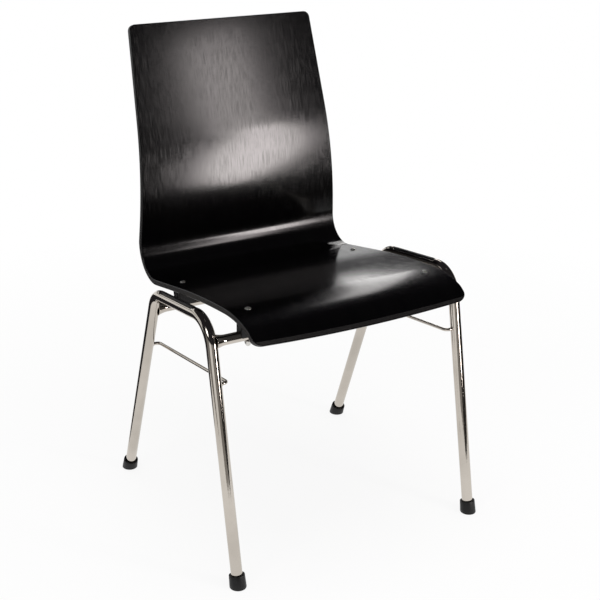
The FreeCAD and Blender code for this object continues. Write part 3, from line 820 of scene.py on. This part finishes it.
def footCap(end, side, sign):
    c, tube = capSizes, tubeFrame["radius"]
    axis = legUp[end]
    foot = legSpot(end, 0) + across * sign * tubeFrame["halfWidth"]
    other = axis.cross(across)
    base, rim, top, edge, lip = c["baseRadius"], c["rimRadius"], c["height"], c["edge"], c["lip"]

    def ring(along, radius):
        return circle(foot + axis * along, across, other, radius, c["sidesCount"])

    def levelRing(z, radius):
        # slid along the leg to one height above the floor
        return [spot + axis * ((z - spot.z) / axis.z) for spot in ring(0, radius)]

    edgeRound, lipRound = edge * c["roundShare"], lip * c["roundShare"]
    rings = [levelRing(z, base * share) for z, share in c["hollow"]]
    rings += [levelRing(0.0, base - edge), levelRing(edgeRound, base - edgeRound), levelRing(edge, base)]
    rings += [ring(along, base + (rim - base) * along / top) for along in c["skirt"]]
    rings += [ring(top - lip, rim), ring(top - lipRound, rim - lipRound), ring(top, rim - lip)]
    rings += [ring(top - down, tube + outside) for down, outside in c["mouth"]]
    name = "%s%sFootCap" % (end, side.capitalize())
    cup = ringsPiece(name, rings)
    under = meshPiece(name + "Under", rings[0], [tuple(reversed(range(c["sidesCount"])))], False)
    fit(joinPieces(name, [cup, under]), plastic, "%s_%s_foot_cap" % (end, side))


for end in ends:
    for side, sign in sides.items():
        footCap(end, side, sign)
print("foot caps ready")

# Floor and world: white where they are seen or mirrored, plain and pale for the light they give
studio = {
    "floorHalf": 15.0, "floorDrop": 0.0003, "floorColour": (0.86, 0.86, 0.86), "floorRough": 0.9,
    "floorSpecular": 0.1, "floorGlow": (0.88, 1.0), "glowFrom": (0.45, 1.6), "worldGlow": (0.55, 1.0),
}


def addMath(tree, operation, first, second):
    # first is a socket, second a socket or a number
    node = tree.nodes.new("ShaderNodeMath")
    node.operation = operation
    tree.links.new(first, node.inputs[0])
    if isinstance(second, float):
        node.inputs[1].default_value = second
    else:
        tree.links.new(second, node.inputs[1])
    return node.outputs[0]


def addRange(tree, source, low, high, toRange=(0.0, 1.0)):
    node = tree.nodes.new("ShaderNodeMapRange")
    for name, value in zip(("From Min", "From Max", "To Min", "To Max"), (low, high, *toRange)):
        node.inputs[name].default_value = value
    tree.links.new(source, node.inputs["Value"])
    return node.outputs["Result"]


def seenOrMirrored(tree):
    rays = tree.nodes.new("ShaderNodeLightPath").outputs
    seen = addMath(tree, "MAXIMUM", rays["Is Camera Ray"], rays["Is Glossy Ray"])
    return addMath(tree, "MAXIMUM", seen, rays["Is Transmission Ray"])


def paleFloor():
    s = studio
    corners = [(x * s["floorHalf"], y * s["floorHalf"], 0) for x, y in ((-1, -1), (1, -1), (1, 1), (-1, 1))]
    floor = meshPiece("studioFloor", corners, [(0, 1, 2, 3)], False)
    floor.location.z = -s["floorDrop"]
    material, tree, shader = newMaterial("paleFloor")
    shader.inputs["Base Color"].default_value = (*s["floorColour"], 1)
    shader.inputs["Roughness"].default_value = s["floorRough"]
    shader.inputs["Specular IOR Level"].default_value = s["floorSpecular"]
    length = tree.nodes.new("ShaderNodeVectorMath")
    length.operation = "LENGTH"
    tree.links.new(tree.nodes.new("ShaderNodeTexCoord").outputs["Object"], length.inputs[0])
    # the shadow shows near the chair, where less of the glow covers it
    share = addRange(tree, length.outputs["Value"], *s["glowFrom"], s["floorGlow"])
    glow = tree.nodes.new("ShaderNodeEmission")
    mix = tree.nodes.new("ShaderNodeMixShader")
    tree.links.new(addMath(tree, "MULTIPLY", seenOrMirrored(tree), share), mix.inputs["Fac"])
    tree.links.new(shader.outputs["BSDF"], mix.inputs[1])
    tree.links.new(glow.outputs["Emission"], mix.inputs[2])
    tree.links.new(mix.outputs["Shader"], tree.nodes["Material Output"].inputs["Surface"])
    floor.data.materials.append(material)


def paleWorld():
    world = bpy.data.worlds.new("studioWorld")
    bpy.context.scene.world = world
    world.use_nodes = True
    back = world.node_tree.nodes["Background"]
    back.inputs["Color"].default_value = (1, 1, 1, 1)
    strength = addRange(world.node_tree, seenOrMirrored(world.node_tree), 0.0, 1.0, studio["worldGlow"])
    world.node_tree.links.new(strength, back.inputs["Strength"])


# Lamps: two soft boxes, and two strip lights at the front right; left and right as the camera sees them
plainLamp = {"shape": "RECTANGLE", "lean": 0, "colour": (1, 1, 1), "mirrored": True}
softboxes = {
    "overhead": {
        "place": (0.0, -0.2, 2.6), "target": (0, 0, 0.3), "size": (1.6, 1.6), "power": 26.0,
        "mirrored": False,
    },
    "frontLeft": {
        "place": (-2.2, -1.0, 1.9), "target": (0, 0, 0.4), "size": (0.9, 0.9), "power": 10.0,
    },
}
stripLights = {
    "stripLow": {
        "place": (1.075, -1.86, 0.535), "target": (0.0, 0.2, 0.6), "size": (0.35, 1.00), "power": 14.0,
        "shape": "ELLIPSE", "lean": -11, "colour": (1.0, 0.93, 0.92), "reach": (2.13, 2.21),
    },
    "stripHigh": {
        "place": (1.07, -1.88, 1.30), "target": (0.0, 0.2, 0.6), "size": (0.25, 0.72), "power": 4.3,
        "colour": (1.0, 0.93, 0.92), "reach": (2.24, 2.32),
    },
}


def softbox(name, settings):
    s = {**plainLamp, **settings}
    light = bpy.data.lights.new(name, "AREA")
    light.shape = s["shape"]
    light.size, light.size_y = s["size"]
    light.energy = s["power"]
    light.color = s["colour"]
    lamp = bpy.data.objects.new(name, light)
    lamp.location = s["place"]
    aim = (Vector(s["target"]) - Vector(s["place"])).to_track_quat("-Z", "Y")
    lamp.rotation_euler = (aim @ Quaternion((0, 0, 1), math.radians(s["lean"]))).to_euler()
    lamp.visible_glossy = s["mirrored"]
    bpy.context.scene.collection.objects.link(lamp)
    return lamp


def stripLight(name, settings, shellOnly):
    # one strip for the shell and a twin for all the rest; on the shell it lights only what is farther
    # away than its reach, so that it doesn't glare at the seat's front edge
    lamp = softbox(name, settings)
    lamp.data.use_nodes = True
    tree = lamp.data.node_tree
    rays = tree.nodes.new("ShaderNodeLightPath").outputs
    # no second image of it in the seat by way of the back
    strength = addMath(tree, "LESS_THAN", rays["Glossy Depth"], 1.5)
    if shellOnly:
        fade = addRange(tree, rays["Ray Length"], *settings["reach"])
        strength = addMath(tree, "MULTIPLY", strength, fade)
    tree.links.new(strength, tree.nodes["Emission"].inputs["Strength"])
    receivers = bpy.data.collections.new(name + "Receivers")
    receivers.objects.link(shellPiece)
    lamp.light_linking.receiver_collection = receivers
    receivers.collection_objects[0].light_linking.link_state = "INCLUDE" if shellOnly else "EXCLUDE"


# Cloths and a lit panel round the set, which only gloss can see; turns are degrees from +Y towards +X
studioCloths = {
    "dark": (0.022, 0.021, 0.024), "radius": 7.0, "top": 6.0, "rows": 8, "dome": 0.98, "turnStep": 3,
    "wallRadius": 6.9, "wallTop": 1.6, "railRadius": 6.8, "lift": 0.0006,
    # lower rim of the dark ceiling: from turn, to turn, height
    "rims": [(-180, -69, 1.6), (-66, 3, 3.6), (6, 75, 0.82), (78, 171, 0.0), (174, 180, 0.82)],
    # sheets on the ground and up the wall: from turn, to turn, grey, nearest to the chair
    "sheets": [(75, 174, 0.022, 1.0), (174, 213, 0.30, 1.3), (246, 282, 0.26, 1.3), (282, 297, 0.02, 1.3)],
    "tint": (1.0, 0.96, 0.92),
    "rail": (-66, 6, 1.65, 2.1),                      # from turn, to turn, low, high
    "leftCorners": ((-0.30, 0.30), (-3.0, 4.0)),      # a dark sheet on the ground
}
rearPanel = {
    "place": (1.68, 2.04), "turn": 36, "strength": 3.9, "colour": (1.0, 0.98, 0.97),
    "low": [(-0.34, 0.90), (-0.01, 1.12)], "high": [(0.06, 2.60), (0.27, 2.66)],   # (sideways, height)
}


def polar(turn, radius, z):
    return Vector((radius * math.sin(math.radians(turn)), radius * math.cos(math.radians(turn)), z))


def studioCloth(name, rows, colour, strength=1.0):
    points, grid = numbered(rows)
    cloth = meshPiece(name, points, quadRows(grid), False)
    material, tree, _ = newMaterial(name)
    shade = tree.nodes.new("ShaderNodeEmission")
    shade.inputs["Color"].default_value = (*colour, 1)
    shade.inputs["Strength"].default_value = strength
    tree.links.new(shade.outputs["Emission"], tree.nodes["Material Output"].inputs["Surface"])
    cloth.data.materials.append(material)
    cloth.visible_camera = cloth.visible_diffuse = cloth.visible_shadow = False
    cloth.visible_transmission = cloth.visible_volume_scatter = False


def darkCeiling():
    # dark above, down to a rim that reaches the ground behind the strip lights
    d = studioCloths
    rims = [(turn, rim) for first, last, rim in d["rims"] for turn in range(first, last + 1, d["turnStep"])]
    rows = []
    for k in range(d["rows"] + 1):
        climb = math.pi / 2 * k / d["rows"]
        radius, rise = d["radius"] * math.cos(climb * d["dome"]), math.sin(climb)
        rows.append([polar(turn, radius, rim + (d["top"] - rim) * rise) for turn, rim in rims])
    studioCloth("darkCeiling", rows, d["dark"])


def wallCloths():
    d = studioCloths
    for number, (first, last, grey, nearest) in enumerate(d["sheets"], start=1):
        turns = range(first, last + 1, d["turnStep"])
        outline = ((nearest, d["lift"]), (d["wallRadius"], d["lift"]), (d["wallRadius"], d["wallTop"]))
        rows = [[polar(turn, radius, z) for turn in turns] for radius, z in outline]
        studioCloth("cloth%d" % number, rows, tuple(grey * tint for tint in d["tint"]))
    first, last, low, high = d["rail"]
    turns = range(first, last + 1, d["turnStep"])
    rows = [[polar(turn, d["railRadius"], z) for turn in turns] for z in (low, high)]
    studioCloth("rail", rows, d["dark"])
    (x0, y0), (x1, y1) = d["leftCorners"]
    studioCloth("leftCloth", [[Vector((x, y, d["lift"])) for x in (x0, x1)] for y in (y0, y1)], d["dark"])


def rearSoftbox():
    # the tall slanted panel behind the chair that shows in the seat
    r = rearPanel
    sideways = Vector((math.cos(math.radians(r["turn"])), -math.sin(math.radians(r["turn"])), 0))
    rows = [[Vector((*r["place"], z)) + sideways * x for x, z in r[row]] for row in ("low", "high")]
    studioCloth("rearPanel", rows, r["colour"], r["strength"])


# Camera solved from the photograph, angles in radians, focal length in its pixels
photoView = {
    "place": (-1.0185, -1.7779, 1.2012), "yaw": 0.529257, "pitch": 0.378723, "roll": 0.006868,
    "focal": 1205.0, "framePixels": 600.0, "sensor": 36.0,
}


def photoCamera():
    p = photoView
    data = bpy.data.cameras.new("photoCamera")
    data.sensor_fit = "HORIZONTAL"
    data.sensor_width = p["sensor"]
    data.lens = p["focal"] / p["framePixels"] * p["sensor"]
    camera = bpy.data.objects.new("photoCamera", data)
    camera.matrix_world = (Matrix.Translation(p["place"]) @ Matrix.Rotation(-p["yaw"], 4, "Z")
                           @ Matrix.Rotation(math.pi / 2 - p["pitch"], 4, "X")
                           @ Matrix.Rotation(p["roll"], 4, "Z"))
    bpy.context.scene.collection.objects.link(camera)
    bpy.context.scene.camera = camera


paleFloor()
paleWorld()
darkCeiling()
wallCloths()
for name, settings in softboxes.items():
    softbox(name, settings)
for shellOnly, suffix in ((False, ""), (True, "Shell")):
    for name, settings in stripLights.items():
        stripLight(name + suffix, settings, shellOnly)
rearSoftbox()
photoCamera()
bpy.context.scene.view_settings.view_transform = "Standard"
print("studio ready")
